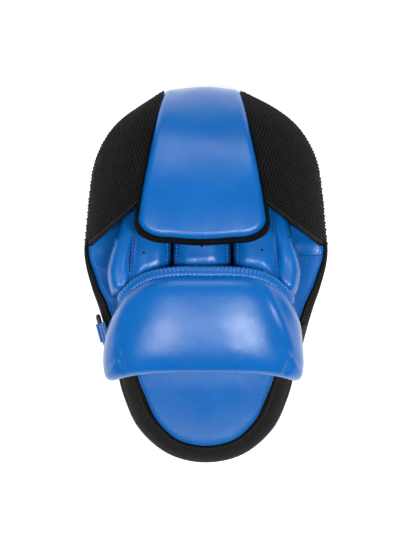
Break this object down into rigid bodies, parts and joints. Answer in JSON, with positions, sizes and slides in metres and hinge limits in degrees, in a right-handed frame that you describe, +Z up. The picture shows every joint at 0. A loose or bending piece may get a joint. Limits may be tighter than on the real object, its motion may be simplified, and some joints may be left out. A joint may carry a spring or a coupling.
{
  "type": "focus mitt",
  "caption": "Curved focus mitt lying on its cupped striking face, with a finger hood, puffed finger sleeves, a padded wrist cuff that lifts and a ring strap that swings and peels.",
  "frame": {"origin": "centre of the mitt's footprint, on the surface that its striking face lies on", "axes": "+Y towards the fingertips, +Z up out of the back of the hand, +X to the right seen from the hand side"},
  "size_m": [0.1946, 0.3006, 0.1167],
  "materials": {
    "blue_leather": "semi-gloss synthetic leather",
    "black_leather": "semi-gloss synthetic leather",
    "white_leather": "semi-gloss synthetic leather",
    "black_mesh": "knitted air mesh",
    "black_webbing": "ribbed tape",
    "black_lining": "brushed knit",
    "black_plastic": "moulded",
    "foam": "closed-cell foam",
    "board": "pressed firm sheet"
  },
  "bodies": {
    "pad": {"front_cover": "black_leather", "target_ring": "blue_leather", "target_dot": "white_leather", "strike_foam": "foam", "shock_foam": "foam", "backing_board": "board", "gusset_band": "black_mesh", "wall_piping": "black_leather", "back_panel": "blue_leather", "back_piping": "black_leather", "glove_lining": "black_lining", "palm_grip": "black_leather", "thumb_sleeve": "blue_leather", "index_sleeve": "blue_leather", "middle_sleeve": "blue_leather", "ring_sleeve": "blue_leather", "little_sleeve": "blue_leather", "knuckle_seam": "blue_leather", "flap_cover": "blue_leather", "flap_foam": "foam", "flap_lining": "black_lining", "flap_binding": "black_webbing", "mesh_panel_left": "black_mesh", "mesh_panel_right": "black_mesh", "mesh_hem_left": "black_webbing", "mesh_hem_right": "black_webbing", "side_gore": "black_webbing", "loop_patch": "black_webbing"},
    "cuff": {"cuff_cover": "blue_leather", "cuff_foam": "foam", "cuff_lining": "black_lining", "ring_keeper": "blue_leather"},
    "ring": {"strap_ring": "black_plastic"},
    "strap": {"closing_strap": "blue_leather", "hook_tape": "black_webbing", "pull_tab": "black_webbing"}
  },
  "joints": [
    {"name": "cuff_lift", "type": "hinge", "parent": "pad", "child": "cuff", "pos_m": [0, 0.006, 0.095], "axis": [-1, 0, 0], "range_deg": [0, 12], "deforming": ["side_gore"]},
    {"name": "ring_swing", "type": "hinge", "parent": "cuff", "child": "ring", "pos_m": [-0.08254, -0.04417, 0.062], "axis": [-0.2667, 0.9638, 0], "range_deg": [0, 35]},
    {"name": "strap_peel", "type": "hinge", "parent": "ring", "child": "strap", "pos_m": [-0.08254, -0.04417, 0.051], "axis": [-0.2667, 0.9638, 0], "range_deg": [0, 100]}
  ]
}
